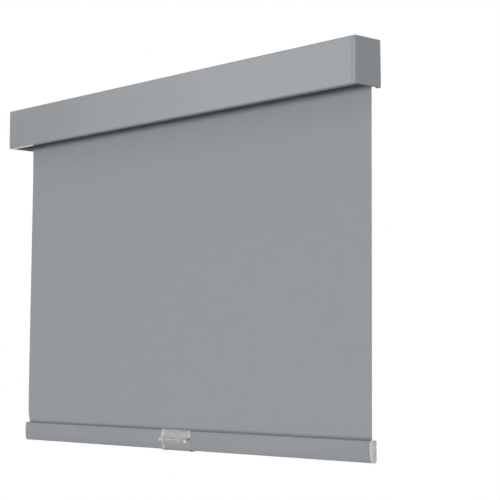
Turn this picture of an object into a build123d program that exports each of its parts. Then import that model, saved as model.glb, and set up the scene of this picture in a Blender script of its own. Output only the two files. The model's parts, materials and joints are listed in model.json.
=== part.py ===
from build123d import *

import os

# Cordless blackout roller shade in a slim cassette, hanging at its full drop.
# X runs along the width, Y towards the wall and Z up, in millimetres. The origin is the centre
# of the ceiling mounting face, on top of the two brackets, and the tube's axis lies below it.

os.makedirs("parts", exist_ok=True)

# Overall sizes
shade_width = 914.0  # over the end caps
panel_drop = 590.4  # top of the cassette to the top of the bottom rail
end_play = 0.5  # tube assembly between its carriers
fit_gap = 0.2  # between moulded pieces that push together
slip_gap = 0.06  # radial, between a shaft and its bearing
body_gap = 0.3  # between pieces that move past each other
overrun = 2.0  # how far a cut runs out of the solid
sides = (("left", -1), ("right", 1))

# Roller tube and the fabric on it
tube_radius = 19.0
tube_wall = 1.2
groove_radius = 1.9  # round pocket that holds the fabric's spline
groove_slot = 1.2
groove_lip = 0.8  # metal over the pocket
tube_spline_play = 0.25
fabric_thickness = 0.42
groove_at = tube_radius - groove_lip - groove_radius
rest_wraps = 2  # turns left on the tube at full drop
wrap_gap = 0.06  # under the first turn
fabric_inset = 11.5  # fabric edge to the end cap's outer face
roll_radius = tube_radius + wrap_gap + rest_wraps * fabric_thickness
panel_front = roll_radius + body_gap
panel_y = panel_front + fabric_thickness / 2

# Cassette: head rail behind and above, fascia in front
profile_wall = 1.6
front_room = 5.4  # roll to the fascia
back_room = 6.1  # roll to the back wall
roof_room = 9.9  # roll to the bracket track
floor_room = 15.1  # roll to the cassette's bottom edge
corner_radius = 2.0
track_half = 17.0  # inside of the bracket track
track_lip = 3.0
track_depth = 4.0
port_y = 16.0  # screw ports under the track
port_bore = 1.45
port_wall = 1.4
fascia_lip = 9.0  # return along the bottom
fascia_lip_rise = 3.0
fascia_rib = 5.0  # rib under the head rail's tongue
back_depth = 46.0  # head rail's back wall, which ends above the cassette's bottom edge
back_foot = 3.0
bracket_sheet = 2.0
top_z = -bracket_sheet
floor_z = top_z - 2 * profile_wall - track_depth
axis_z = floor_z - roof_room - roll_radius
bottom_z = axis_z - roll_radius - floor_room
front_y = -(roll_radius + front_room + profile_wall)
back_y = roll_radius + back_room + profile_wall
port_z = floor_z - port_bore

# End caps and the carriers behind them
cap_flange = 7.3  # how far the cap wraps onto the front
cap_wall = 2.0
cap_edge_radius = 1.8
cap_back_step = 0.8  # how far the cap's back stands behind the head rail, at its top
seam_gap = 0.2  # between the cap's rim and the profiles
tab_height = 10.0
tab_reach = 7.0
tab_wall = 1.5
tab_spread = 36.0
peg_radius = 2.0
peg_y = 14.0
peg_drop = 17.0  # below the tube's axis
carrier_sheet = 2.5
carrier_foot = 27.0  # carrier's lower edge, below the axis
carrier_radius = 6.0
boss_wall = 4.0
screw_head_radius = 3.2
screw_head_height = 2.0
screw_reach = 12.0
screw_recess_radius = 1.2
screw_recess = 1.1
screw_play = 0.05
profile_end = shade_width / 2 - cap_flange - seam_gap
cap_inside = shade_width / 2 - cap_wall
plug_flange = 2.5
tube_end = profile_end - end_play - plug_flange
fabric_end = shade_width / 2 - fabric_inset

# Spring motor on the left, spring-loaded idler on the right
shaft_width = 8.0  # across the flats of its square end
shaft_length = 270.0
shaft_stub = 5.0
plug_length = 26.0
plug_rib = 2.4
plug_ribs = 8
plug_rib_start = 22.5  # degrees, so that two ribs straddle the groove's pocket
hub_wall = 2.2
anchor_length = 18.0
anchor_radius = 12.0
anchor_from_end = 34.0
drive_length = 20.0
spring_wire = 1.6
spring_seat = 6.0  # hub length inside each end of the spring
clip_sheet = 1.0
clip_radius = 6.4
clip_groove = 0.8  # depth of the clip's groove in the shaft
drive_from_tip = 4.0
pin_radius = 3.0
pin_out = 5.0  # what stands out of the idler plug, and its travel
pin_collar = 2.4
pin_collar_radius = 5.6
pin_tail = 9.0
pin_nose = 0.8
pin_bearing = 9.0
pin_chamber = 15.5
pin_chamber_radius = 6.0
pin_spring_wire = 1.0
chamber_wall = 1.5

# Brackets
bracket_inset = 127.0  # from the end of the cassette to the bracket's middle
bracket_width = 44.0
bracket_front = 17.5
bracket_flange = 40.0
bracket_radius = 4.0
ceiling_hole_spacing = 16.0
wall_hole_drop = 14.0
wall_hole_spacing = 16.0
screw_hole_radius = 2.3
countersink_radius = 3.6
hook_width = 8.0
hook_spacing = 28.0
hook_gap = 0.2
hook_sheet = 1.6
hook_catch = 1.9  # under the track's lip
hook_window = 6.0

# Bottom rail
rail_height = 32.5
rail_half = 5.85  # fabric to its bowed front
rail_back = 7.2  # fabric to its flat back
rail_belly = 13.3  # depth of its widest place
rail_side_radius = 76.7
rail_sole_radius = 3.2
rail_shoulder = 2.2
rail_inner_radius = 1.0
rail_wall = 1.2
rail_slot = 2.4
rail_channel = 4.5
rail_line_height = 6.0  # fine line above the rail's lower edge
rail_line = 0.5
rail_line_depth = 0.3
rail_spline_width = 5.6
rail_spline_height = 3.0
rail_spline_radius = 1.3
rail_spline_play = 0.1
rail_cap_inset = 8.0  # from the end of the cassette
rail_cap_flange = 2.6
rail_cap_lip = 0.35
rail_cap_plug = 12.0
rail_cap_bevel = 1.4  # of its outer edge, seen from the end
rail_cap_bevel_depth = 2.0
corner_trim_width = 4.6  # fabric's left lower corner, snipped so that it feeds into the rail
corner_trim_rise = 18.0
rail_top_z = top_z - panel_drop
rail_cap_end = shade_width / 2 - rail_cap_inset
rail_end = rail_cap_end - rail_cap_flange

# Clear pull handle, clipped round the bottom rail
handle_width = 76.0
handle_shift = 2.0
handle_wall = 1.2
handle_play = 0.15
handle_mouth = 2.2
handle_edge = 0.4
handle_bead = 0.6  # how far the beads round its two ends stand proud
handle_bead_width = 3.2
lip_down = 11.2  # below the rail's top
lip_reach = 8.6
lip_fall = 8.0
lip_wall = 2.0
lip_nose = 0.9
lip_corner = 4.0


def station(x):
    """Plane across the shade at x, with its own x along Y and its own y along Z."""
    return Plane(origin=(x, 0, 0), x_dir=(0, 1, 0), z_dir=(1, 0, 0))


def axle(x):
    """Plane across the tube's axis at x."""
    return Plane(origin=(x, 0, axis_z), x_dir=(0, 1, 0), z_dir=(1, 0, 0))


def hem(x):
    """Plane across the bottom rail at x, from the middle of the rail's top."""
    return Plane(origin=(x, panel_y, rail_top_z), x_dir=(0, 1, 0), z_dir=(1, 0, 0))


def strip(points, wall, side):
    """Sheet of one wall with square bends: its skin runs through the points, its wall lies at one side."""
    skin = [Vector(*point) for point in points]
    turn = 1 if side == Side.LEFT else -1
    steps = [
        Vector(start.Y - end.Y, end.X - start.X).normalized() * wall * turn
        for start, end in zip(skin, skin[1:])
    ]
    inner = [skin[0] + steps[0]]
    inner += [bend + before + after for bend, before, after in zip(skin[1:], steps, steps[1:])]
    inner += [skin[-1] + steps[-1]]
    with BuildLine() as outline:
        Polyline(*skin, *reversed(inner), close=True)
    make_face(outline.edges())


def block(low, high, mode=Mode.ADD):
    """Rectangle between two corners."""
    with Locations(((low[0] + high[0]) / 2, (low[1] + high[1]) / 2)):
        Rectangle(high[0] - low[0], high[1] - low[1], mode=mode)


def keyed_disc(inset):
    """Disc inside the tube, inset from its bore and notched round the groove's pocket."""
    with BuildSketch() as disc:
        Circle(tube_radius - tube_wall - inset)
        with Locations((0, groove_at)):
            Circle(groove_radius + tube_wall + inset, mode=Mode.SUBTRACT)
    return disc.sketch


def rail_face(grow, corner):
    """The bottom rail's section, bowed in front and flat behind, grown evenly and rounded at its corners."""
    with BuildSketch() as face:
        block((-rail_half - grow - overrun, -rail_height - grow), (rail_back + grow, grow))
        with Locations((rail_side_radius - rail_half, -rail_belly)):
            Circle(rail_side_radius + grow, mode=Mode.INTERSECT)
        fillet(face.vertices().group_by(Axis.Y)[0], rail_sole_radius + grow)
        fillet(face.vertices().group_by(Axis.Y)[-1], corner)
    return face.sketch


# Mounting brackets: bent sheet with two hooks for the front lip of the track and two for the rear
for side_name, side in sides:
    bracket_x = side * (shade_width / 2 - bracket_inset)
    with BuildPart() as mounting_bracket:
        with BuildSketch(station(bracket_x)):
            strip(
                [
                    (-bracket_front, 0),
                    (back_y + bracket_sheet, 0),
                    (back_y + bracket_sheet, -bracket_flange),
                ],
                bracket_sheet,
                Side.RIGHT,
            )
        extrude(amount=bracket_width / 2, both=True)
        bend = mounting_bracket.edges().filter_by(Axis.X).group_by(Axis.Y)[-1].sort_by(Axis.Z)[-1]
        fillet(bend, bracket_sheet)
        fillet(mounting_bracket.edges().filter_by(Axis.Y).group_by(Axis.Z)[0], bracket_radius)
        fillet(mounting_bracket.edges().filter_by(Axis.Z).group_by(Axis.Y)[0], bracket_radius)
        hook_web = track_half - track_lip - hook_gap
        hook_top = top_z - profile_wall - hook_gap
        with BuildSketch(Plane.XY.offset(top_z)):
            with Locations((bracket_x, 0)):
                with GridLocations(hook_spacing, 2 * hook_web - 2 * hook_sheet - hook_window, 2, 2):
                    Rectangle(hook_width, hook_window)
        extrude(amount=bracket_sheet, mode=Mode.SUBTRACT)
        for hook_x in (bracket_x - hook_spacing / 2, bracket_x + hook_spacing / 2):
            with BuildSketch(station(hook_x)) as hooks:
                strip(
                    [(-hook_web, top_z), (-hook_web, hook_top), (-hook_web - hook_catch, hook_top)],
                    hook_sheet,
                    Side.LEFT,
                )
                mirror(about=Plane.YZ)
            extrude(amount=hook_width / 2, both=True)
        with BuildSketch(Plane.XY):
            with Locations((bracket_x, 0)):
                with GridLocations(0, ceiling_hole_spacing, 1, 2):
                    Circle(screw_hole_radius)
        extrude(amount=-bracket_sheet, mode=Mode.SUBTRACT)
        wall_face = Plane(origin=(bracket_x, back_y, -wall_hole_drop), x_dir=(1, 0, 0), z_dir=(0, -1, 0))
        with Locations(wall_face):
            with Locations((0, 0), (0, -wall_hole_spacing)):
                CounterSinkHole(screw_hole_radius, countersink_radius, depth=2 * bracket_sheet)
    mounting_bracket.part.label = f"{side_name}_mounting_bracket"
    export_step(mounting_bracket.part, f"parts/{side_name}_mounting_bracket.step")

# Head rail: one extrusion with the bracket track, screw ports, back wall and the fascia's tongue
tongue_z = top_z - profile_wall - seam_gap
tongue_front = front_y + profile_wall + body_gap
with BuildPart() as head_rail:
    with BuildSketch(station(-profile_end)) as head_section:
        strip(
            [
                (tongue_front, tongue_z),
                (-track_half - profile_wall, tongue_z),
                (-track_half - profile_wall, top_z),
                (back_y, top_z),
                (back_y, top_z - back_depth),
                (back_y - back_foot, top_z - back_depth),
            ],
            profile_wall,
            Side.RIGHT,
        )
        fillet(head_section.vertices().group_by(Axis.X)[-1], corner_radius)
        strip(
            [
                (-track_half, top_z - profile_wall),
                (-track_half, floor_z + profile_wall),
                (track_half, floor_z + profile_wall),
                (track_half, top_z - profile_wall),
            ],
            profile_wall,
            Side.RIGHT,
        )
        with Locations((-port_y, port_z), (port_y, port_z)):
            Circle(port_bore + port_wall)
        with Locations((-port_y, port_z), (port_y, port_z)):
            Circle(port_bore, mode=Mode.SUBTRACT)
        block(
            (track_lip - track_half, top_z - profile_wall),
            (track_half - track_lip, top_z),
            Mode.SUBTRACT,
        )
    extrude(amount=2 * profile_end)
head_rail.part.label = "head_rail"
export_step(head_rail.part, "parts/head_rail.step")

# Fascia: front cover whose rib and top return grip the tongue
fascia_top_end = -track_half - profile_wall - seam_gap
rib_z = tongue_z - profile_wall - seam_gap
with BuildPart() as fascia:
    with BuildSketch(station(-profile_end)) as fascia_section:
        strip(
            [
                (fascia_top_end, top_z),
                (front_y, top_z),
                (front_y, bottom_z),
                (front_y + fascia_lip, bottom_z),
                (front_y + fascia_lip, bottom_z + fascia_lip_rise),
            ],
            profile_wall,
            Side.LEFT,
        )
        fillet(fascia_section.vertices().group_by(Axis.X)[0], corner_radius)
        block(
            (front_y + profile_wall / 2, rib_z - profile_wall),
            (front_y + profile_wall + fascia_rib, rib_z),
        )
    extrude(amount=2 * profile_end)
fascia.part.label = "fascia"
export_step(fascia.part, "parts/fascia.step")

# End caps: side plate whose back leans out to the wall's plane, rim flush with the profiles in
# front, tabs behind the fascia and two pegs
tab_front = front_y + profile_wall + fit_gap
for side_name, side in sides:
    with BuildPart() as end_cap:
        with BuildSketch(station(side * shade_width / 2)) as outline:
            with BuildLine():
                Polyline(
                    (front_y, top_z),
                    (front_y, bottom_z),
                    (back_y + bracket_sheet, bottom_z),
                    (back_y + cap_back_step, top_z),
                    close=True,
                )
            make_face()
            fillet(outline.vertices(), corner_radius)
        extrude(amount=-side * cap_flange)
        with BuildSketch(station(side * cap_inside)):
            block(
                (front_y + profile_wall, bottom_z + profile_wall),
                (back_y - profile_wall, top_z - profile_wall),
            )
            block(
                (front_y + fascia_lip, bottom_z - overrun),
                (back_y - back_foot, bottom_z + profile_wall),
            )
        extrude(amount=-side * (cap_flange - cap_wall), mode=Mode.SUBTRACT)
        fillet(end_cap.faces().sort_by(Axis.X)[0 if side < 0 else -1].edges(), cap_edge_radius)
        with BuildSketch(station(side * cap_inside)):
            with Locations((tab_front + tab_wall / 2, axis_z)):
                with GridLocations(0, tab_spread, 1, 2):
                    Rectangle(tab_wall, tab_height)
        extrude(amount=-side * (cap_flange - cap_wall + tab_reach))
        with BuildSketch(station(side * cap_inside)):
            with Locations((-peg_y, axis_z - peg_drop), (peg_y, axis_z - peg_drop)):
                Circle(peg_radius)
        extrude(amount=-side * (cap_inside - profile_end))
    end_cap.part.label = f"{side_name}_end_cap"
    export_step(end_cap.part, f"parts/{side_name}_end_cap.step")

# Carriers: plates screwed to the head rail's ends, the left with a square socket for the spring
# motor's shaft and the right with the bearing for the idler pin
carrier_front = tab_front + tab_wall + fit_gap
carrier_back = back_y - profile_wall - fit_gap
socket_width = shaft_width + fit_gap
boss_radius = socket_width / 2 + boss_wall
boss_height = cap_inside - profile_end - body_gap
for side_name, side in sides:
    with BuildPart() as carrier:
        with BuildSketch(station(side * profile_end)) as plate:
            block((carrier_front, axis_z - carrier_foot), (carrier_back, top_z - profile_wall - fit_gap))
            fillet(plate.vertices(), carrier_radius)
            with Locations((-port_y, port_z), (port_y, port_z)):
                Circle(port_bore + fit_gap, mode=Mode.SUBTRACT)
            with Locations((-peg_y, axis_z - peg_drop), (peg_y, axis_z - peg_drop)):
                Circle(peg_radius + fit_gap, mode=Mode.SUBTRACT)
        extrude(amount=side * carrier_sheet)
        with BuildSketch(axle(side * profile_end)):
            Circle(boss_radius)
        extrude(amount=side * boss_height)
        with BuildSketch(axle(side * profile_end)):
            if side < 0:
                Rectangle(socket_width, socket_width)
            else:
                Circle(pin_radius + slip_gap)
        extrude(amount=side * boss_height, mode=Mode.SUBTRACT)
    carrier.part.label = f"{side_name}_carrier"
    export_step(carrier.part, f"parts/{side_name}_carrier.step")

# Carrier screws: four pan heads in the head rail's ports
with BuildPart() as carrier_screws:
    for side_name, side in sides:
        screw_seat = profile_end + carrier_sheet
        with BuildSketch(station(side * screw_seat)):
            with Locations((-port_y, port_z), (port_y, port_z)):
                Circle(screw_head_radius)
        extrude(amount=side * screw_head_height)
        with BuildSketch(station(side * (screw_seat + screw_head_height))):
            with Locations((-port_y, port_z), (port_y, port_z)):
                RegularPolygon(screw_recess_radius, 6)
        extrude(amount=-side * screw_recess, mode=Mode.SUBTRACT)
        with BuildSketch(station(side * screw_seat)):
            with Locations((-port_y, port_z), (port_y, port_z)):
                Circle(port_bore - screw_play)
        extrude(amount=-side * (carrier_sheet + screw_reach))
carrier_screws.part.label = "carrier_screws"
export_step(carrier_screws.part, "parts/carrier_screws.step")

# Roller tube with the keyed groove for the fabric's spline
with BuildPart() as roller_tube:
    with BuildSketch(axle(-tube_end)):
        Circle(tube_radius)
        Circle(tube_radius - tube_wall, mode=Mode.SUBTRACT)
        with Locations((0, groove_at)):
            Circle(groove_radius + tube_wall)
        Circle(tube_radius, mode=Mode.INTERSECT)
        with Locations((0, groove_at)):
            Circle(groove_radius, mode=Mode.SUBTRACT)
        block((-groove_slot / 2, groove_at), (groove_slot / 2, tube_radius + overrun), Mode.SUBTRACT)
    extrude(amount=2 * tube_end)
roller_tube.part.label = "roller_tube"
export_step(roller_tube.part, "parts/roller_tube.step")

# Spline that locks the fabric into the tube
with BuildPart() as tube_fabric_spline:
    with BuildSketch(axle(-fabric_end)):
        with Locations((0, groove_at)):
            Circle(groove_radius - tube_spline_play)
    extrude(amount=2 * fabric_end)
tube_fabric_spline.part.label = "tube_fabric_spline"
export_step(tube_fabric_spline.part, "parts/tube_fabric_spline.step")

# Fabric still wound on the tube: the outer turn is two half-turn arcs that end in a step of one
# thickness, where the hanging panel leaves the roll
with BuildPart() as fabric_roll:
    with BuildSketch(axle(-fabric_end)):
        with BuildLine():
            half_turn = roll_radius - fabric_thickness / 2
            full_turn = roll_radius - fabric_thickness
            upper_centre = (roll_radius - half_turn) / 2
            lower_centre = (full_turn - half_turn) / 2
            ThreePointArc(
                (roll_radius, 0), (upper_centre, roll_radius - upper_centre), (-half_turn, 0)
            )
            ThreePointArc((-half_turn, 0), (lower_centre, lower_centre - half_turn), (full_turn, 0))
            Line((full_turn, 0), (roll_radius, 0))
        make_face()
        Circle(tube_radius + wrap_gap, mode=Mode.SUBTRACT)
    extrude(amount=2 * fabric_end)
fabric_roll.part.label = "fabric_roll"
export_step(fabric_roll.part, "parts/fabric_roll.step")


def ribbed_plug(mouth, inward, length, hub):
    """Plug in the tube from mouth along inward: a hub with ribs that reach the tube's bore."""
    with BuildSketch(axle(mouth)) as section:
        Circle(hub)
        with PolarLocations(0, plug_ribs, start_angle=plug_rib_start):
            with Locations((tube_radius / 2, 0)):
                Rectangle(tube_radius, plug_rib)
        add(keyed_disc(fit_gap / 2), mode=Mode.INTERSECT)
    extrude(section.sketch, amount=inward * length)


# End plug that carries the tube on the spring motor's shaft
journal = shaft_width / 2
with BuildPart() as tube_end_plug:
    ribbed_plug(-tube_end, 1, plug_length, journal + slip_gap + hub_wall)
    with BuildSketch(axle(-tube_end)):
        Circle(tube_radius)
    extrude(amount=-plug_flange)
    with BuildSketch(axle(-tube_end - plug_flange)):
        Circle(journal + slip_gap)
    extrude(amount=plug_flange + plug_length, mode=Mode.SUBTRACT)
tube_end_plug.part.label = "tube_end_plug"
export_step(tube_end_plug.part, "parts/tube_end_plug.step")

# Spring motor's shaft: square end in the left carrier, round journal, groove for its clip
shaft_tip = -profile_end + shaft_length
with BuildPart() as spring_shaft:
    with BuildSketch(axle(-profile_end)):
        Rectangle(shaft_width, shaft_width)
    extrude(amount=-boss_height)
    with BuildSketch(axle(-profile_end)):
        Circle(journal)
    extrude(amount=shaft_length)
    chamfer(spring_shaft.faces().sort_by(Axis.X)[-1].edges(), clip_groove)
    with BuildSketch(axle(shaft_tip - drive_from_tip)):
        Circle(journal)
        Circle(journal - clip_groove, mode=Mode.SUBTRACT)
    extrude(amount=clip_sheet + fit_gap, mode=Mode.SUBTRACT)
spring_shaft.part.label = "spring_shaft"
export_step(spring_shaft.part, "parts/spring_shaft.step")

# Anchor that holds the spring's fixed end on the shaft
anchor_x = -profile_end + anchor_from_end
spring_inner = journal + slip_gap + hub_wall + body_gap
with BuildPart() as spring_anchor:
    with BuildSketch(axle(anchor_x)):
        Circle(anchor_radius)
    extrude(amount=anchor_length)
    with BuildSketch(axle(anchor_x + anchor_length)):
        Circle(spring_inner - fit_gap)
    extrude(amount=spring_seat)
    with BuildSketch(axle(anchor_x)):
        Circle(journal + slip_gap)
    extrude(amount=anchor_length + spring_seat, mode=Mode.SUBTRACT)
spring_anchor.part.label = "spring_anchor"
export_step(spring_anchor.part, "parts/spring_anchor.step")

# Drive plug that takes the spring's free end to the tube
drive_end = shaft_tip - drive_from_tip - fit_gap
drive_mouth = drive_end - drive_length
with BuildPart() as spring_drive_plug:
    ribbed_plug(drive_mouth, 1, drive_length, anchor_radius)
    with BuildSketch(axle(drive_mouth)):
        Circle(spring_inner - body_gap)
    extrude(amount=-spring_seat)
    with BuildSketch(axle(drive_mouth - spring_seat)):
        Circle(journal + slip_gap)
    extrude(amount=drive_length + spring_seat, mode=Mode.SUBTRACT)
spring_drive_plug.part.label = "spring_drive_plug"
export_step(spring_drive_plug.part, "parts/spring_drive_plug.step")

# Counterbalance spring, close-wound and closed in by the tube
with BuildPart() as counter_spring:
    with BuildSketch(axle(anchor_x + anchor_length)):
        Circle(spring_inner + spring_wire)
        Circle(spring_inner, mode=Mode.SUBTRACT)
    extrude(amount=drive_mouth - body_gap - anchor_x - anchor_length)
counter_spring.part.label = "counter_spring"
export_step(counter_spring.part, "parts/counter_spring.step")

# Clip that keeps the drive plug on the shaft
with BuildPart() as shaft_clip:
    with BuildSketch(axle(shaft_tip - drive_from_tip + fit_gap / 2)):
        Circle(clip_radius)
        clip_bore = journal - clip_groove + slip_gap
        Circle(clip_bore, mode=Mode.SUBTRACT)
        block((-clip_bore, -clip_radius), (clip_bore, 0), Mode.SUBTRACT)
    extrude(amount=clip_sheet)
shaft_clip.part.label = "shaft_clip"
export_step(shaft_clip.part, "parts/shaft_clip.step")

# Idler plug: bearing for the pin, then a chamber for its spring
plug_face = tube_end + plug_flange
chamber_x = plug_face - pin_bearing
with BuildPart() as idle_plug:
    ribbed_plug(tube_end, -1, plug_length, pin_chamber_radius + chamber_wall)
    with BuildSketch(axle(tube_end)):
        Circle(tube_radius)
    extrude(amount=plug_flange)
    with BuildSketch(axle(plug_face)):
        Circle(pin_radius + slip_gap)
    extrude(amount=-pin_bearing, mode=Mode.SUBTRACT)
    with BuildSketch(axle(chamber_x)):
        Circle(pin_chamber_radius)
    extrude(amount=-pin_chamber, mode=Mode.SUBTRACT)
idle_plug.part.label = "idle_plug"
export_step(idle_plug.part, "parts/idle_plug.step")

# Idler pin, with a collar that stops it in the plug
collar_x = chamber_x - fit_gap
with BuildPart() as idle_pin:
    with BuildSketch(axle(collar_x - pin_collar)):
        Circle(pin_collar_radius)
    extrude(amount=pin_collar)
    with BuildSketch(axle(collar_x - pin_tail)):
        Circle(pin_radius)
    extrude(amount=pin_tail + fit_gap + pin_bearing + pin_out)
    chamfer(idle_pin.faces().sort_by(Axis.X)[-1].edges(), pin_nose)
idle_pin.part.label = "idle_pin"
export_step(idle_pin.part, "parts/idle_pin.step")

# Pin spring, behind the collar
with BuildPart() as pin_spring:
    with BuildSketch(axle(chamber_x - pin_chamber)):
        Circle(pin_radius + fit_gap + pin_spring_wire)
        Circle(pin_radius + fit_gap, mode=Mode.SUBTRACT)
    extrude(amount=pin_chamber - fit_gap - pin_collar)
pin_spring.part.label = "pin_spring"
export_step(pin_spring.part, "parts/pin_spring.step")

# Hanging fabric, its left lower corner snipped
panel_foot = rail_top_z - rail_wall - rail_spline_play + body_gap
trim_end = fabric_end - corner_trim_width
with BuildPart() as shade_panel:
    with BuildSketch(Plane(origin=(0, panel_front, 0), x_dir=(1, 0, 0), z_dir=(0, -1, 0))):
        with BuildLine():
            Polyline(
                (-fabric_end, axis_z),
                (-fabric_end, rail_top_z + corner_trim_rise),
                (-trim_end, rail_top_z),
                (-trim_end, panel_foot),
                (fabric_end, panel_foot),
                (fabric_end, axis_z),
                close=True,
            )
        make_face()
    extrude(amount=-fabric_thickness)
shade_panel.part.label = "shade_panel"
export_step(shade_panel.part, "parts/shade_panel.step")

# Bottom rail: hollow extrusion, bowed in front, with a channel for the fabric's spline
with BuildSketch() as rail_line_cut:
    add(rail_face(0, rail_shoulder))
    add(rail_face(-rail_line_depth, rail_shoulder), mode=Mode.SUBTRACT)
    block(
        (-rail_half - overrun, rail_line_height - rail_height),
        (rail_back + overrun, rail_line_height + rail_line - rail_height),
        Mode.INTERSECT,
    )
with BuildPart() as bottom_rail:
    with BuildSketch(hem(-rail_end)):
        add(rail_face(0, rail_shoulder))
        add(rail_face(-rail_wall, rail_inner_radius), mode=Mode.SUBTRACT)
        block((-rail_half, -2 * rail_wall - rail_channel), (rail_back, -rail_wall - rail_channel))
        add(rail_face(0, rail_shoulder), mode=Mode.INTERSECT)
        block((-rail_slot / 2, -rail_wall - rail_channel / 2), (rail_slot / 2, overrun), Mode.SUBTRACT)
        add(rail_line_cut.sketch, mode=Mode.SUBTRACT)
    extrude(amount=2 * rail_end)
bottom_rail.part.label = "bottom_rail"
export_step(bottom_rail.part, "parts/bottom_rail.step")

# Spline that locks the fabric into the rail
with BuildPart() as rail_fabric_spline:
    with BuildSketch(hem(-trim_end)):
        with Locations((0, -rail_wall - rail_spline_play - rail_spline_height / 2)):
            RectangleRounded(rail_spline_width, rail_spline_height, rail_spline_radius)
    extrude(amount=2 * trim_end)
rail_fabric_spline.part.label = "rail_fabric_spline"
export_step(rail_fabric_spline.part, "parts/rail_fabric_spline.step")

# Rail caps: rounded ends that plug into the rail's lower chamber
for side_name, side in sides:
    with BuildPart() as rail_cap:
        with BuildSketch(hem(side * rail_end)):
            add(rail_face(rail_cap_lip, rail_shoulder))
        extrude(amount=side * rail_cap_flange)
        outer_face = rail_cap.faces().sort_by(Axis.X)[0 if side < 0 else -1]
        chamfer(outer_face.edges(), rail_cap_bevel, rail_cap_bevel_depth, reference=outer_face)
        with BuildSketch(hem(side * rail_end)):
            add(rail_face(-rail_wall - fit_gap, rail_inner_radius))
            block(
                (-rail_half, -2 * rail_wall - rail_channel - fit_gap),
                (rail_back, overrun),
                Mode.SUBTRACT,
            )
        extrude(amount=-side * rail_cap_plug)
    rail_cap.part.label = f"{side_name}_rail_cap"
    export_step(rail_cap.part, f"parts/{side_name}_rail_cap.step")

# Pull handle: open clip round the rail, beaded at both ends, with a curved finger lip in front
handle_end = handle_width / 2
with BuildPart() as finger_lip:
    with BuildSketch(hem(handle_shift - handle_end)):
        lip_root = (-rail_half - handle_play - handle_wall / 2, -lip_down)
        lip_tip = (lip_root[0] - lip_reach, -lip_down - lip_fall)
        with BuildLine():
            TangentArc(lip_root, lip_tip, tangent=(-1, 0))
            offset(amount=lip_wall, side=Side.LEFT)
        lip_section = make_face()
        fillet(lip_section.vertices().sort_by(Axis.X)[:2], lip_nose)
    extrude(amount=handle_width)
    lip_front = finger_lip.part.bounding_box().min.Y
    with BuildSketch(Plane.XY.offset(rail_top_z)):
        with Locations((handle_shift, lip_front + rail_height / 2)):
            RectangleRounded(handle_width, rail_height, lip_corner)
    extrude(amount=-rail_height, mode=Mode.INTERSECT)
with BuildPart() as pull_handle:
    with BuildSketch(hem(handle_shift - handle_end)):
        add(rail_face(handle_play + handle_wall, rail_shoulder + handle_play + handle_wall))
    extrude(amount=handle_width)
    for end in (-1, 1):
        with BuildSketch(hem(handle_shift + end * handle_end)):
            bead_grow = handle_play + handle_wall + handle_bead
            add(rail_face(bead_grow, rail_shoulder + bead_grow))
            block(
                (-rail_belly, -rail_height - bead_grow),
                (rail_belly, handle_play + handle_wall),
                Mode.INTERSECT,
            )
        extrude(amount=-end * handle_bead_width)
    handle_ends = pull_handle.faces().filter_by(Axis.X).sort_by(Axis.X)
    chamfer(handle_ends[0].edges() + handle_ends[-1].edges(), handle_edge)
    add(finger_lip.part)
    with BuildSketch(hem(handle_shift - handle_end)):
        add(rail_face(handle_play, rail_shoulder + handle_play))
        block((-handle_mouth / 2, -rail_wall), (handle_mouth / 2, rail_half))
    extrude(amount=handle_width, mode=Mode.SUBTRACT)
pull_handle.part.label = "pull_handle"
export_step(pull_handle.part, "parts/pull_handle.step")
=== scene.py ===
"""Looks for a blackout roller shade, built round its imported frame, in metres."""

import json
import math
from collections import namedtuple

import bpy
from mathutils import Matrix, Vector


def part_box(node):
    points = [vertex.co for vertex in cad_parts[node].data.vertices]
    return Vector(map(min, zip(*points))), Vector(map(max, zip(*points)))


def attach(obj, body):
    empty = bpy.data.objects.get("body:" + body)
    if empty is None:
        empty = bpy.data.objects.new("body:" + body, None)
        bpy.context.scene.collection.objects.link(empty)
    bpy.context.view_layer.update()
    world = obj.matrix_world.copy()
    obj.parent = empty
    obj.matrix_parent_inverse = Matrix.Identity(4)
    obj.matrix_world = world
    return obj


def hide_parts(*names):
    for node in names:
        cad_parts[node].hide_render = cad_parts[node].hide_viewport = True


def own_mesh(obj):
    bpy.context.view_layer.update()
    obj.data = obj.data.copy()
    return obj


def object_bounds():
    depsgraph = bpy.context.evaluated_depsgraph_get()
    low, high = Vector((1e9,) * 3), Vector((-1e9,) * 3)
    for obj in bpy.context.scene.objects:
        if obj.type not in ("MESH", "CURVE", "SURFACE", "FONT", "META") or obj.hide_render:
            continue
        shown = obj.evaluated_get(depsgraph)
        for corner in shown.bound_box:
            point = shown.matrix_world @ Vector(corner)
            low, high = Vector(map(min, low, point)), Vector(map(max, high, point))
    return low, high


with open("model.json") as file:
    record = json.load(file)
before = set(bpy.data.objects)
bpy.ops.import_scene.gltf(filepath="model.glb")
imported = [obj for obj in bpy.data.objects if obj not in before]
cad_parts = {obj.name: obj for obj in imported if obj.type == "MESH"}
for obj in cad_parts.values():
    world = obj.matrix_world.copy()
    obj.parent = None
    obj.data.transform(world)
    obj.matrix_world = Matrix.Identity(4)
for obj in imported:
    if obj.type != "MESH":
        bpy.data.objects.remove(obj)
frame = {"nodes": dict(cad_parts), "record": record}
cad_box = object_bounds()
scene = bpy.context.scene
scene.view_settings.view_transform = "Standard"

MM = 0.001
WHITE = (1, 1, 1, 1)

# Camera, at the photograph's viewing angle
CAMERA_PLACE = Vector((1.94895, -1.57489, -0.48801))
CAMERA_YAW = math.radians(-47.9783)
CAMERA_PITCH = math.radians(4.5190)
CAMERA_ROLL = math.radians(0.3076)
CAMERA_LENS = 107.4725
CAMERA_SENSOR = 36.0

# Floor: as pale as the backdrop to the eye, without lighting the shade
FLOOR_Z = -1.6
FLOOR_SIZE = 8.0
FLOOR_SHOWN = 0.4
FLOOR_GREY = (0.85, 0.85, 0.85, 1)
FLOOR_ROUGH = 0.7

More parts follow.
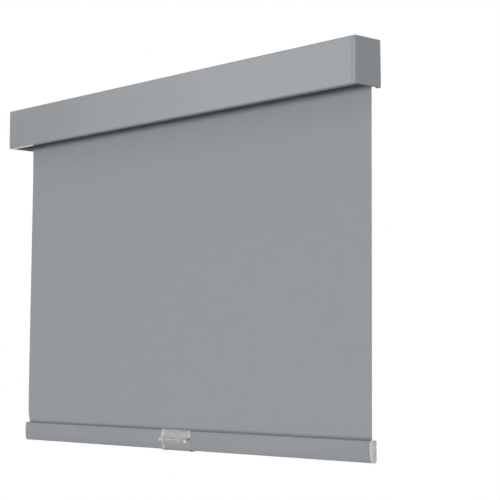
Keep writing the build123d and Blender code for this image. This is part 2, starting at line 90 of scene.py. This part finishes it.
# World: its strength to the eye, as a fill on the shade, and in reflections from each side
WORLD_SHOWN = 1.0
WORLD_LIGHT = 0.085
WORLD_FRONT = 0.25
WORLD_BEHIND = 1.35
WORLD_ZENITH = 0.3  # share that is left overhead
FRONT_TO_BACK = (-0.35, 0.05)  # where the front passes into the back, along Y
SIDES_TO_ZENITH = (0.3, 0.75)  # and the sides into the zenith, along Z

# Lamps: azimuth from straight in front towards the right end, and elevation, both in degrees,
# and power in watts
Lamp = namedtuple("Lamp", "name azimuth elevation distance size power")
LAMPS = [
    Lamp("key", azimuth=27, elevation=-0.8, distance=14.0, size=(6.0, 3.2), power=174.0),
    Lamp("gloss", azimuth=-44, elevation=2, distance=5.0, size=(2.1, 3.2), power=2.0),
    Lamp("core", azimuth=-39, elevation=2, distance=5.0, size=(1.9, 3.2), power=1.8),
    Lamp("glint", azimuth=-69, elevation=30, distance=5.0, size=(0.35, 1.6), power=0.85),
    Lamp("top", azimuth=10, elevation=38, distance=6.0, size=(3.0, 2.5), power=4.0),
    Lamp("side", azimuth=86, elevation=4, distance=6.0, size=(1.6, 2.0), power=1.85),
    Lamp("back", azimuth=172, elevation=12, distance=5.0, size=(2.0, 1.6), power=16.0),
]
LAMP_SPREAD = math.radians(60)

# Colours
CASSETTE_GREY = (0.300, 0.317, 0.333)
CAP_GREY = (0.319, 0.336, 0.350)
FABRIC_GREY = (0.296, 0.309, 0.331)
RAIL_GREY = (0.274, 0.286, 0.307)
CARRIER_BLACK = (0.1, 0.103, 0.106)
ACETAL_WHITE = (0.62, 0.61, 0.58)
SPLINE_GREY = (0.6, 0.6, 0.6)
NYLON_WHITE = (0.72, 0.714, 0.70)
ZINC_GREY = (0.56, 0.57, 0.59)
SCREW_GREY = (0.6, 0.6, 0.62)
ALUMINIUM_GREY = (0.78, 0.79, 0.8)
SHAFT_GREY = (0.55, 0.56, 0.57)
SPRING_GREY = (0.3, 0.3, 0.31)
HANDLE_TINT = (0.93, 0.92, 0.90, 1)
HANDLE_SHADOW = (0.66, 0.65, 0.63, 1)  # light that its shadow lets through
TINT_STOPS = (0.3, 0.7)  # noise seldom leaves this range

# Grain of the surfaces: waves per metre, relief, and roughness or what it adds to that
PEEL_SCALE = 900
PEEL_HEIGHT = 0.005 * MM
PEEL_ROUGH = 0.03
COAT_CLOUD_SCALE = 6
COAT_CLOUD_STRETCH = (1, 3, 3)
COAT_LINES = (2, 220, 220)
SPARK_SCALE = 1800
SPARK_HEIGHT = 0.015 * MM
SPARK_ROUGH = 0.06
PLASTIC_CLOUD_SCALE = 25
BRUSHED_HEIGHT = 0.01 * MM
BRUSHED_SMOOTH = 0.08  # taken away where it's polished
BRUSHED_ROUGH = 0.1
SPANGLE_SCALE = 420
SPANGLE_HEIGHT = 0.008 * MM
SPANGLE_ROUGH = (0.3, 0.42)
NYLON_SCALE = 1500
NYLON_HEIGHT = 0.01 * MM
NYLON_ROUGH = (0.38, 0.48)
NYLON_DEPTH = 14.0 * MM  # how far light travels inside
WEAVE_SCALE = 320.0
WEAVE_HEIGHT = 0.03 * MM
WEAVE_ROUGH = 0.86
YARN_ACROSS = 520  # unevenness of the yarns
YARN_ALONG = 14

# Pull handle: clear, with a frosted line over the bead near each end
HANDLE_BEAD = 3.8 * MM
HANDLE_BEAD_IN = 4.2 * MM  # the line's middle, from the end
FROST_EDGE = 0.6 * MM
BODY_CLEAR = 0.973  # share of light that goes through
FROST_CLEAR = 0.88
BODY_ROUGH = 0.03
FROST_ROUGH = 0.35
HANDLE_IOR = 1.55

# Fabric
FABRIC_THICKNESS = 0.42 * MM
PANEL_STEP = 8.0 * MM
CORNER_TRIM_RISE = 18.0 * MM  # snip at the left lower corner
CORNER_TRIM_WIDTH = 4.6 * MM
FOOT_RISE = 6.5 * MM  # fabric's foot, with painted shade where it runs into the rail
FOOT_SHADE = 0.6
CURL_WIDTH = 30.0 * MM  # of the fabric's left edge, which curls a little
CURL_TOP = 1.3 * MM
CURL_FOOT = -1.1 * MM
CURL_TOP_PART = 6  # the curl fades out over the top sixth of the height
CURL_FOOT_PART = 12  # and over the lowest twelfth

# Fabric on the tube
TUBE_RADIUS = 19.0 * MM
ROLL_GAP = 0.01 * MM
ROLL_THICKNESS = 0.95 * FABRIC_THICKNESS
ROLL_STEP = math.radians(5)
QUARTER_TURN = math.pi / 2
WOUND_QUARTERS = 5
SINK_QUARTERS = 3  # over which it comes down onto the tube, after the first one

# Springs
COUNTER_WIRE = 1.6 * MM
COUNTER_PITCH = 3.2 * MM
PIN_WIRE = 0.9 * MM
PIN_PITCH = 2.0 * MM
SPRING_SIDES = 8
SPRING_STEPS = 20  # along one turn
SPRING_FIT = 0.98  # share of the wire's radius, so that the coil stays inside its solid

SHARP_ANGLE = math.radians(40)  # edges sharper than this stay sharp in smooth shading


# Nodes of a material


def feed(tree, node, inputs):
    """Links sockets into a node's inputs, and sets plain values there."""
    for key, value in inputs.items():
        if isinstance(value, bpy.types.NodeSocket):
            tree.links.new(value, node.inputs[key])
        else:
            node.inputs[key].default_value = value


def add_node(tree, kind, inputs=None, **settings):
    """A node with its settings and its inputs."""
    node = tree.nodes.new(kind)
    for key, value in settings.items():
        setattr(node, key, value)
    feed(tree, node, inputs or {})
    return node


def new_material(name):
    """A node material, its tree and its shader."""
    material = bpy.data.materials.new(name)
    material.use_nodes = True
    tree = material.node_tree
    return material, tree, tree.nodes["Principled BSDF"]


def stretched(tree, scale=(1, 1, 1)):
    """Object coordinates multiplied by a scale for each axis."""
    place = add_node(tree, "ShaderNodeTexCoord").outputs["Object"]
    inputs = {"Vector": place, "Scale": scale}
    return add_node(tree, "ShaderNodeMapping", inputs).outputs["Vector"]


def noise(tree, scale, stretch=(1, 1, 1), detail=2.0, rough=0.5):
    """Grey noise from 0 to 1, centred on a half, with so many waves per metre."""
    inputs = {
        "Vector": stretched(tree, stretch),
        "Scale": scale,
        "Detail": detail,
        "Roughness": rough,
    }
    return add_node(tree, "ShaderNodeTexNoise", inputs).outputs["Fac"]


def calculated(tree, operation, *values):
    """The result of one Math node."""
    inputs = dict(enumerate(values))
    return add_node(tree, "ShaderNodeMath", inputs, operation=operation).outputs[0]


def away_from(tree, value, middle):
    """How far a value is from a middle one, either way."""
    return calculated(tree, "ABSOLUTE", calculated(tree, "SUBTRACT", value, middle))


def between(tree, value, low, high, start=0.0, stop=1.0, curve="LINEAR"):
    """A change from low to high while a value goes from start to stop."""
    inputs = {"Value": value, "From Min": start, "From Max": stop, "To Min": low, "To Max": high}
    return add_node(
        tree, "ShaderNodeMapRange", inputs, interpolation_type=curve
    ).outputs["Result"]


def tinted(tree, value, colour, spread):
    """A colour that a value from 0 to 1 darkens and lightens by its spread."""
    ramp = add_node(tree, "ShaderNodeValToRGB", {"Fac": value})
    shares = (1 - spread, 1 + spread)
    for element, stop, share in zip(ramp.color_ramp.elements, TINT_STOPS, shares):
        element.position = stop
        element.color = [c * share for c in colour] + [1]
    return ramp.outputs["Color"]


def bumped(tree, height, distance):
    """A normal with bumps of a real height."""
    inputs = {"Height": height, "Distance": distance, "Strength": 1.0}
    return add_node(tree, "ShaderNodeBump", inputs).outputs["Normal"]


def mixed(tree, share, first, second):
    """A first shader that passes into a second while a share goes from 0 to 1."""
    return add_node(tree, "ShaderNodeMixShader", {0: share, 1: first, 2: second}).outputs[0]


# Materials


def coated_metal(name, colour, rough):
    """Satin powder coat on an extrusion: fine orange peel and the faintest lengthwise lines."""
    material, tree, shader = new_material(name)
    peel = noise(tree, PEEL_SCALE)
    cloud = noise(tree, COAT_CLOUD_SCALE, stretch=COAT_CLOUD_STRETCH, detail=3.0)
    lines = noise(tree, 1.0, stretch=COAT_LINES)
    look = {
        "Base Color": tinted(tree, cloud, colour, spread=0.012),
        "Roughness": between(tree, peel, rough - PEEL_ROUGH, rough + PEEL_ROUGH),
        "Normal": bumped(tree, calculated(tree, "ADD", peel, lines), PEEL_HEIGHT),
    }
    feed(tree, shader, look)
    return material


def moulded(name, colour, rough, gloss=0.5):
    """Moulded plastic with a fine spark grain."""
    material, tree, shader = new_material(name)
    sparks = noise(tree, SPARK_SCALE, detail=3.0, rough=0.6)
    cloud = noise(tree, PLASTIC_CLOUD_SCALE)
    look = {
        "Base Color": tinted(tree, cloud, colour, spread=0.01),
        "Roughness": between(tree, sparks, rough - SPARK_ROUGH, rough + SPARK_ROUGH),
        "Specular IOR Level": gloss,
        "Normal": bumped(tree, sparks, SPARK_HEIGHT),
    }
    feed(tree, shader, look)
    return material


def bare_metal(name, colour, rough, brushed):
    """Plain metal, brushed along the axis whose scale is smallest."""
    material, tree, shader = new_material(name)
    marks = noise(tree, 1.0, stretch=brushed, detail=3.0, rough=0.6)
    look = {
        "Base Color": tinted(tree, marks, colour, spread=0.06),
        "Roughness": between(tree, marks, rough - BRUSHED_SMOOTH, rough + BRUSHED_ROUGH),
        "Metallic": 1.0,
        "Normal": bumped(tree, marks, BRUSHED_HEIGHT),
    }
    feed(tree, shader, look)
    return material


def zinc_plate(name):
    """Zinc plated sheet steel, with its faint spangle."""
    material, tree, shader = new_material(name)
    cell = {"Vector": stretched(tree), "Scale": SPANGLE_SCALE}
    shade = add_node(tree, "ShaderNodeTexVoronoi", cell).outputs["Color"]
    grey = add_node(tree, "ShaderNodeRGBToBW", {"Color": shade}).outputs["Val"]
    look = {
        "Base Color": tinted(tree, grey, ZINC_GREY, spread=0.05),
        "Roughness": between(tree, grey, *SPANGLE_ROUGH),
        "Metallic": 1.0,
        "Normal": bumped(tree, grey, SPANGLE_HEIGHT),
    }
    feed(tree, shader, look)
    return material


def shaded_foot(tree, cloth, place, foot):
    """A cloth's colour with painted shade, darker where it comes down to its foot, at a height.
    """
    height = add_node(tree, "ShaderNodeSeparateXYZ", {"Vector": place}).outputs["Z"]
    shade = between(tree, height, FOOT_SHADE, 1.0, foot, foot + FOOT_RISE, "SMOOTHERSTEP")
    inputs = {0: cloth, "Scale": shade}
    return add_node(tree, "ShaderNodeVectorMath", inputs, operation="SCALE").outputs[0]


def blackout_weave(name, colour, foot=None):
    """Matte coated weave: warp and weft ridges, uneven yarns and, where given, painted shade at
    its foot.
    """
    material, tree, shader = new_material(name)
    place = stretched(tree)
    wave = {
        "Vector": place,
        "Scale": WEAVE_SCALE,
        "Distortion": 1.2,
        "Detail": 1.0,
        "Detail Scale": 2.0,
    }
    ridges = [
        add_node(tree, "ShaderNodeTexWave", wave, bands_direction=axis).outputs["Fac"]
        for axis in ("X", "Z")
    ]
    weave = calculated(tree, "MULTIPLY", *ridges)
    warp = noise(tree, 1.0, stretch=(YARN_ACROSS, 1, YARN_ALONG), detail=3.0)
    weft = noise(tree, 1.0, stretch=(YARN_ALONG, 1, YARN_ACROSS), detail=3.0)
    yarn = calculated(tree, "MULTIPLY", calculated(tree, "ADD", warp, weft), 1 / 2)
    cloth = tinted(tree, yarn, colour, spread=0.03)
    look = {
        "Base Color": cloth if foot is None else shaded_foot(tree, cloth, place, foot),
        "Roughness": WEAVE_ROUGH,
        "Specular IOR Level": 0.3,
        "Sheen Weight": 0.12,
        "Sheen Roughness": 0.5,
        "Normal": bumped(tree, calculated(tree, "ADD", weave, yarn), WEAVE_HEIGHT),
    }
    feed(tree, shader, look)
    return material


def clear_plastic(name, node):
    """Clear polycarbonate that lets the lights through, frosted along the beads near its ends."""
    material, tree, shader = new_material(name)
    low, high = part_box(node)
    along = add_node(tree, "ShaderNodeSeparateXYZ", {"Vector": stretched(tree)}).outputs["X"]
    from_middle = away_from(tree, along, (low.x + high.x) / 2)
    from_bead = away_from(tree, from_middle, (high.x - low.x) / 2 - HANDLE_BEAD_IN)
    bead_end = HANDLE_BEAD / 2
    frost = between(tree, from_bead, 0.0, 1.0, start=bead_end, stop=bead_end - FROST_EDGE)
    look = {
        "Base Color": HANDLE_TINT,
        "Roughness": between(tree, frost, BODY_ROUGH, FROST_ROUGH),
        "Transmission Weight": between(tree, frost, BODY_CLEAR, FROST_CLEAR),
        "IOR": HANDLE_IOR,
    }
    feed(tree, shader, look)
    see_through = add_node(tree, "ShaderNodeBsdfTransparent", {"Color": HANDLE_SHADOW})
    in_shadow = add_node(tree, "ShaderNodeLightPath").outputs["Is Shadow Ray"]
    surface = mixed(tree, in_shadow, shader.outputs["BSDF"], see_through.outputs["BSDF"])
    feed(tree, tree.nodes["Material Output"], {"Surface": surface})
    return material


def milky_plastic(name, colour):
    """Natural nylon that light soaks into, with a fine grain."""
    material, tree, shader = new_material(name)
    grain = noise(tree, NYLON_SCALE)
    look = {
        "Base Color": tinted(tree, grain, colour, spread=0.01),
        "Roughness": between(tree, grain, *NYLON_ROUGH),
        "Subsurface Weight": 1.0,
        "Subsurface Radius": (1.0, 1.0, 0.9),
        "Subsurface Scale": NYLON_DEPTH,
        "Specular IOR Level": 0.3,
        "Normal": bumped(tree, grain, NYLON_HEIGHT),
    }
    feed(tree, shader, look)
    return material


def floor_paint(name):
    """Pale paint that glows to the eye alone."""
    material, tree, shader = new_material(name)
    seen = add_node(tree, "ShaderNodeLightPath").outputs["Is Camera Ray"]
    look = {
        "Base Color": FLOOR_GREY,
        "Roughness": FLOOR_ROUGH,
        "Emission Color": WHITE,
        "Emission Strength": calculated(tree, "MULTIPLY", seen, FLOOR_SHOWN),
    }
    feed(tree, shader, look)
    return material


rail_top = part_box("bottom_rail")[1].z
materials = {
    "cassette_coat": coated_metal("satin_coat", CASSETTE_GREY, rough=0.11),
    "cap_plastic": moulded("cap_plastic", CAP_GREY, rough=0.5, gloss=0.2),
    "rail_coat": coated_metal("rail_coat", RAIL_GREY, rough=0.55),
    "blackout_fabric": blackout_weave("blackout_weave", FABRIC_GREY),
    # the hanging fabric gets painted shade at its foot, just above the rail
    "hanging_fabric": blackout_weave("hanging_weave", FABRIC_GREY, foot=rail_top),
    "carrier_plastic": moulded("carrier_nylon", CARRIER_BLACK, rough=0.55),
    "plug_plastic": moulded("acetal", ACETAL_WHITE, rough=0.4),
    "spline_plastic": moulded("spline_plastic", SPLINE_GREY, rough=0.45),
    "rail_cap_plastic": milky_plastic("natural_nylon", NYLON_WHITE),
    "clear_plastic": clear_plastic("clear_polycarbonate", "pull_handle"),
    "bracket_steel": zinc_plate("zinc_plate"),
    "screw_steel": bare_metal("screw_zinc", SCREW_GREY, rough=0.35, brushed=(900, 900, 900)),
    "tube_aluminium": bare_metal(
        "mill_aluminium", ALUMINIUM_GREY, rough=0.32, brushed=(6, 900, 900)
    ),
    "shaft_steel": bare_metal("drawn_steel", SHAFT_GREY, rough=0.28, brushed=(10, 1200, 1200)),
    "spring_steel": bare_metal("spring_steel", SPRING_GREY, rough=0.4, brushed=(600, 600, 600)),
}
slots = {row["node"]: row["material_slot"] for row in frame["record"]["subparts"]}


def dress(piece, slot, look=None):
    """Gives a piece one material: the given look's, or else its slot's."""
    piece.data.materials.clear()
    piece.data.materials.append(materials[look or slot])


for node_name, node_object in frame["nodes"].items():
    dress(node_object, slots[node_name])


# Meshes


def mesh_piece(name, points, faces, smooth=True):
    """A mesh object in the frame's space."""
    mesh = bpy.data.meshes.new(name)
    mesh.from_pydata([tuple(p) for p in points], [], faces)
    mesh.validate()
    if smooth:
        mesh.shade_smooth()
    piece = bpy.data.objects.new(name, mesh)
    scene.collection.objects.link(piece)
    return piece


def thick_sheet(name, rows, normals, thickness):
    """A closed sheet from rows of middle points, with half its thickness to each side."""
    count = len(rows[0])
    points = [
        point + normal * side * thickness / 2
        for side in (-1, 1)
        for row, normal in zip(rows, normals)
        for point in row
    ]
    layer = len(rows) * count
    faces = []
    for i in range(len(rows) - 1):
        for j in range(count - 1):
            a = i * count + j
            b = a + count
            faces.append((a, a + 1, b + 1, b))
            faces.append((a + layer, b + layer, b + 1 + layer, a + 1 + layer))
    rim = list(range(count))
    rim += [i * count + count - 1 for i in range(1, len(rows))]
    rim += [(len(rows) - 1) * count + j for j in range(count - 2, -1, -1)]
    rim += [i * count for i in range(len(rows) - 2, 0, -1)]
    for here, there in zip(rim, rim[1:] + rim[:1]):
        faces.append((there, here, here + layer, there + layer))
    piece = mesh_piece(name, points, faces)
    piece.data.set_sharp_from_angle(angle=SHARP_ANGLE)
    return piece


def clamped(share):
    """A share kept from 0 to 1."""
    return min(1.0, max(0.0, share))


# Hanging fabric
panel_low, panel_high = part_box("shade_panel")
panel_y = (panel_low.y + panel_high.y) / 2
panel_half = panel_high.x


def panel_left_at(z):
    """Place of the fabric's left edge at a height: its lower corner is snipped."""
    share = (z - rail_top) / CORNER_TRIM_RISE
    return CORNER_TRIM_WIDTH * (1 - clamped(share)) - panel_half


def curl_at(from_edge, z):
    """How far the fabric stands back from its plane near its left edge: forward at the foot."""
    share = clamped((z - rail_top) / (panel_high.z - rail_top))
    near_ends = min(1.0, CURL_FOOT_PART * share, CURL_TOP_PART * (1 - share))
    fall = max(0.0, 1 - from_edge / CURL_WIDTH) ** 2
    return (CURL_FOOT + (CURL_TOP - CURL_FOOT) * share) * fall * near_ends


def fabric_panel():
    """The flat hanging fabric, from the roll down into the bottom rail."""
    trim_top = rail_top + CORNER_TRIM_RISE
    count = math.ceil((panel_high.z - trim_top) / PANEL_STEP)
    heights = [panel_low.z, rail_top, trim_top]
    heights += [trim_top + (panel_high.z - trim_top) * (i + 1) / count for i in range(count)]
    columns = math.ceil(2 * panel_half / PANEL_STEP)
    rows = []
    for z in heights:
        left = panel_left_at(z)
        step = (panel_half - left) / columns
        across = [step * j for j in range(columns + 1)]
        rows.append([Vector((left + x, panel_y + curl_at(x, z), z)) for x in across])
    normals = [Vector((0, 1, 0))] * len(rows)
    return thick_sheet("hanging_fabric", rows, normals, FABRIC_THICKNESS)


fabric = fabric_panel()
dress(fabric, "blackout_fabric", "hanging_fabric")
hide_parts("shade_panel")
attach(fabric, "root")
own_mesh(fabric)

# Fabric on the tube
roll_low, roll_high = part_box("fabric_roll")
roll_middle = (roll_low + roll_high) / 2
roll_half = roll_high.x


def wound_fabric():
    """One and a quarter turns: from the back, over the top, round, and down onto the tube."""
    outer = roll_high.y - FABRIC_THICKNESS / 2
    inner = TUBE_RADIUS + FABRIC_THICKNESS / 2 + ROLL_GAP
    rows = []
    normals = []
    for i in range(round(WOUND_QUARTERS * QUARTER_TURN / ROLL_STEP) + 1):
        angle = i * ROLL_STEP
        share = clamped((angle - QUARTER_TURN) / (SINK_QUARTERS * QUARTER_TURN))
        radius = outer + (inner - outer) * share
        y = radius * math.cos(angle)
        z = roll_middle.z + radius * math.sin(angle)
        rows.append([Vector((x, y, z)) for x in (-roll_half, roll_half)])
        normals.append(Vector((0, math.cos(angle), math.sin(angle))))
    length = sum((b[0] - a[0]).length for a, b in zip(rows, rows[1:]))
    return thick_sheet("wound_fabric", rows, normals, ROLL_THICKNESS), length


wound, wound_length = wound_fabric()
dress(wound, "blackout_fabric")
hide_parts("fabric_roll")
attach(wound, "tube")


# Springs


def coil(name, node, wire, pitch):
    """A round wire spring along X, in the space of the node's solid."""
    low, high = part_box(node)
    middle_y, middle_z = (low.y + high.y) / 2, (low.z + high.z) / 2
    radius = (high.z - low.z) / 2 - wire / 2
    length = high.x - low.x - wire
    count = math.ceil(length / pitch * SPRING_STEPS)
    lean = math.atan(pitch / (2 * math.pi * radius))
    points = []
    for i in range(count + 1):
        angle = 2 * math.pi * i / SPRING_STEPS
        x = low.x + wire / 2 + length * i / count
        outward = Vector((0, math.cos(angle), math.sin(angle)))
        around = Vector((0, -math.sin(angle), math.cos(angle)))
        sideways = Vector((1, 0, 0)) * math.cos(lean) - around * math.sin(lean)
        middle = Vector((x, middle_y, middle_z)) + outward * radius
        for k in range(SPRING_SIDES):
            turn = 2 * math.pi * k / SPRING_SIDES
            towards = outward * math.cos(turn) + sideways * math.sin(turn)
            points.append(middle + towards * (wire / 2 * SPRING_FIT))
    last = count * SPRING_SIDES
    faces = [list(range(SPRING_SIDES)), list(range(last, last + SPRING_SIDES))[::-1]]
    for i in range(count):
        for k in range(SPRING_SIDES):
            a = i * SPRING_SIDES + k
            b = i * SPRING_SIDES + (k + 1) % SPRING_SIDES
            faces.append([a, a + SPRING_SIDES, b + SPRING_SIDES, b])
    piece = mesh_piece(name, points, faces)
    dress(piece, slots[node])
    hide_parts(node)
    return piece


counter_coil = coil("counterbalance_coil", "counter_spring", COUNTER_WIRE, COUNTER_PITCH)
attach(counter_coil, "root")
pin_coil = coil("pin_coil", "pin_spring", PIN_WIRE, PIN_PITCH)
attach(pin_coil, "tube")
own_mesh(pin_coil)

# Camera
forward = Vector(
    (
        math.sin(CAMERA_YAW) * math.cos(CAMERA_PITCH),
        math.cos(CAMERA_YAW) * math.cos(CAMERA_PITCH),
        math.sin(CAMERA_PITCH),
    )
)
level = Vector((math.cos(CAMERA_YAW), -math.sin(CAMERA_YAW), 0))
upward = level.cross(forward)
right = level * math.cos(CAMERA_ROLL) + upward * math.sin(CAMERA_ROLL)
up = upward * math.cos(CAMERA_ROLL) - level * math.sin(CAMERA_ROLL)
camera_data = bpy.data.cameras.new("camera")
camera_data.lens = CAMERA_LENS
camera_data.sensor_width = CAMERA_SENSOR
camera = bpy.data.objects.new("camera", camera_data)
scene.collection.objects.link(camera)
facing = Matrix((right, up, -forward)).transposed()
camera.matrix_world = Matrix.Translation(CAMERA_PLACE) @ facing.to_4x4()
scene.camera = camera

# Floor
half = FLOOR_SIZE / 2
corners = [(-half, -half), (half, -half), (half, half), (-half, half)]
floor = mesh_piece("floor", [(x, y, FLOOR_Z) for x, y in corners], [(0, 1, 2, 3)], smooth=False)
floor.data.materials.append(floor_paint("pale_floor"))

# World: a white backdrop to the eye, a soft fill, and a room that is dimmer in front to reflect
world = bpy.data.worlds.new("studio")
scene.world = world
world.use_nodes = True
world_tree = world.node_tree
backdrop = world_tree.nodes["Background"]
feed(world_tree, backdrop, {"Color": WHITE, "Strength": WORLD_SHOWN})
direction = add_node(world_tree, "ShaderNodeTexCoord").outputs["Generated"]
parts = add_node(world_tree, "ShaderNodeSeparateXYZ", {"Vector": direction}).outputs
from_back = between(
    world_tree, parts["Y"], WORLD_FRONT, WORLD_BEHIND, *FRONT_TO_BACK, "SMOOTHSTEP"
)
from_above = between(world_tree, parts["Z"], 1.0, WORLD_ZENITH, *SIDES_TO_ZENITH, "SMOOTHSTEP")
room_strength = calculated(world_tree, "MULTIPLY", from_back, from_above)
room = add_node(world_tree, "ShaderNodeBackground", {"Color": WHITE, "Strength": room_strength})
fill = add_node(world_tree, "ShaderNodeBackground", {"Color": WHITE, "Strength": WORLD_LIGHT})
path = add_node(world_tree, "ShaderNodeLightPath").outputs
shown = mixed(
    world_tree, path["Is Glossy Ray"], backdrop.outputs["Background"], room.outputs["Background"]
)
surface = mixed(world_tree, path["Is Diffuse Ray"], shown, fill.outputs["Background"])
feed(world_tree, world_tree.nodes["World Output"], {"Surface": surface})

# Lamps: a broad far key, panels at the left that show in the gloss, and soft fills all round
middle = (cad_box[0] + cad_box[1]) / 2
for lamp in LAMPS:
    azimuth = math.radians(lamp.azimuth)
    elevation = math.radians(lamp.elevation)
    panel = bpy.data.lights.new(lamp.name, "AREA")
    panel.shape = "RECTANGLE"
    panel.size, panel.size_y = lamp.size
    panel.energy = lamp.power
    panel.spread = LAMP_SPREAD
    stand = bpy.data.objects.new(lamp.name, panel)
    scene.collection.objects.link(stand)
    towards = Vector(
        (
            math.sin(azimuth) * math.cos(elevation),
            -math.cos(azimuth) * math.cos(elevation),
            math.sin(elevation),
        )
    )
    stand.location = middle + towards * lamp.distance
    stand.rotation_mode = "QUATERNION"
    stand.rotation_quaternion = (-towards).to_track_quat("-Z", "Y")
